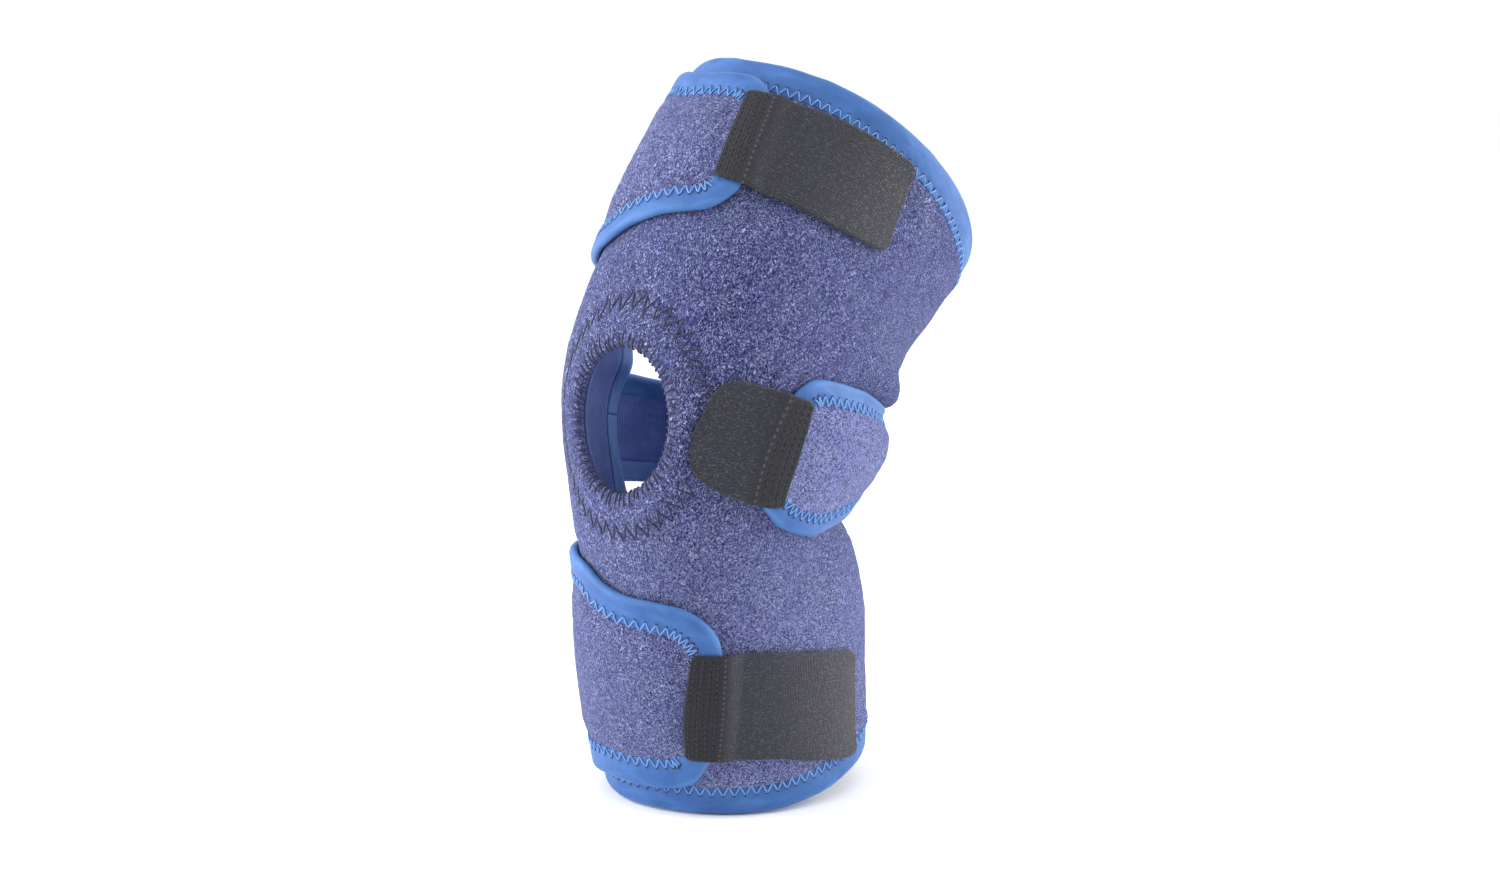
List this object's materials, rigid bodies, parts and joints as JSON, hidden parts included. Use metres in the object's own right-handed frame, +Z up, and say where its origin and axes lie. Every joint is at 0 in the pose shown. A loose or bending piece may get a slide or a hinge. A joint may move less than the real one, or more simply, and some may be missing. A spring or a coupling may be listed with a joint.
{
  "type": "knee brace",
  "caption": "Wrap-around padded knee support with an open kneecap ring, two wrap wings, a crossing middle strap and hook tabs, shaped to a bent knee.",
  "frame": {"origin": "centre of the limb at the middle of the knee", "axes": "+Z up, front of the knee towards -Y, outer side of the knee towards +X; the knee is bent, with the shin near vertical and the thigh leaning back"},
  "size_m": [0.1349, 0.1855, 0.294],
  "materials": {
    "plush": "brushed loop fabric over foam",
    "binding_tape": "satin stretch binding tape",
    "tab_webbing": "matte woven tape",
    "hook_tape": "fine moulded hooks",
    "thread": "twisted sewing thread",
    "lining": "smooth knit"
  },
  "bodies": {
    "knee": {"knee_panel": "plush", "upper_flex_panel": "plush", "lower_flex_panel": "plush", "patella_pad": "lining", "patella_rim_thread": "thread", "patella_pad_thread": "thread", "medial_edge_binding": "binding_tape", "popliteal_binding": "binding_tape", "mid_strap_base": "plush", "mid_strap_base_stitching": "thread"},
    "thigh": {"thigh_panel": "plush", "top_binding": "binding_tape", "top_binding_thread": "thread", "upper_wing_base": "plush", "upper_base_binding": "binding_tape", "upper_seam_thread": "thread"},
    "calf": {"calf_panel": "plush", "bottom_binding": "binding_tape", "bottom_binding_thread": "thread", "lower_wing_base": "plush", "lower_base_binding": "binding_tape", "lower_seam_thread": "thread"},
    "upper_wing": {"upper_wing": "plush", "upper_wing_binding": "binding_tape", "upper_wing_thread": "thread", "upper_tab_base": "tab_webbing", "upper_tab_stitching": "thread"},
    "lower_wing": {"lower_wing": "plush", "lower_wing_binding": "binding_tape", "lower_wing_thread": "thread", "lower_tab_base": "tab_webbing", "lower_tab_stitching": "thread"},
    "mid_strap": {"mid_strap": "plush", "mid_strap_binding": "binding_tape", "mid_strap_thread": "thread", "mid_tab_base": "tab_webbing", "mid_tab_stitching": "thread"},
    "upper_tab": {"upper_tab_backing": "tab_webbing", "upper_tab_hooks": "hook_tape"},
    "lower_tab": {"lower_tab_backing": "tab_webbing", "lower_tab_hooks": "hook_tape"},
    "mid_tab": {"mid_tab_backing": "tab_webbing", "mid_tab_hooks": "hook_tape"}
  },
  "joints": [
    {"name": "thigh_flex", "type": "hinge", "parent": "knee", "child": "thigh", "pos_m": [0, 0, 0], "axis": [-1, 0, 0], "range_deg": [-26.5, 22], "deforming": ["upper_flex_panel"]},
    {"name": "calf_flex", "type": "hinge", "parent": "knee", "child": "calf", "pos_m": [0, 0, 0], "axis": [1, 0, 0], "range_deg": [-26.5, 22], "deforming": ["lower_flex_panel"]},
    {"name": "upper_wing_open", "type": "hinge", "parent": "thigh", "child": "upper_wing", "pos_m": [-0.06775, 0.04234, 0.0663], "axis": [0.0708, -0.697, -0.7136], "range_deg": [0, 60]},
    {"name": "lower_wing_open", "type": "hinge", "parent": "calf", "child": "lower_wing", "pos_m": [-0.0514, -0.02307, -0.10115], "axis": [-0.003, 0.1393, -0.9902], "range_deg": [0, 60]},
    {"name": "mid_strap_open", "type": "hinge", "parent": "knee", "child": "mid_strap", "pos_m": [-0.02125, 0.06349, -0.02648], "axis": [-0.0999, 0.2762, 0.9559], "range_deg": [0, 50]},
    {"name": "upper_tab_peel", "type": "hinge", "parent": "upper_wing", "child": "upper_tab", "pos_m": [0.0249, -0.00971, 0.10964], "axis": [0.1113, -0.6271, -0.771], "range_deg": [0, 90]},
    {"name": "lower_tab_peel", "type": "hinge", "parent": "lower_wing", "child": "lower_tab", "pos_m": [0.03682, -0.0466, -0.10883], "axis": [-0.1172, 0.0504, -0.9918], "range_deg": [0, 90]},
    {"name": "mid_tab_peel", "type": "hinge", "parent": "mid_strap", "child": "mid_tab", "pos_m": [0.05544, -0.03585, -0.00671], "axis": [0.214, 0.2663, 0.9398], "range_deg": [0, 90]}
  ],
  "couplings": [
    {"joint": "calf_flex", "follows": "thigh_flex", "ratio": 1}
  ]
}
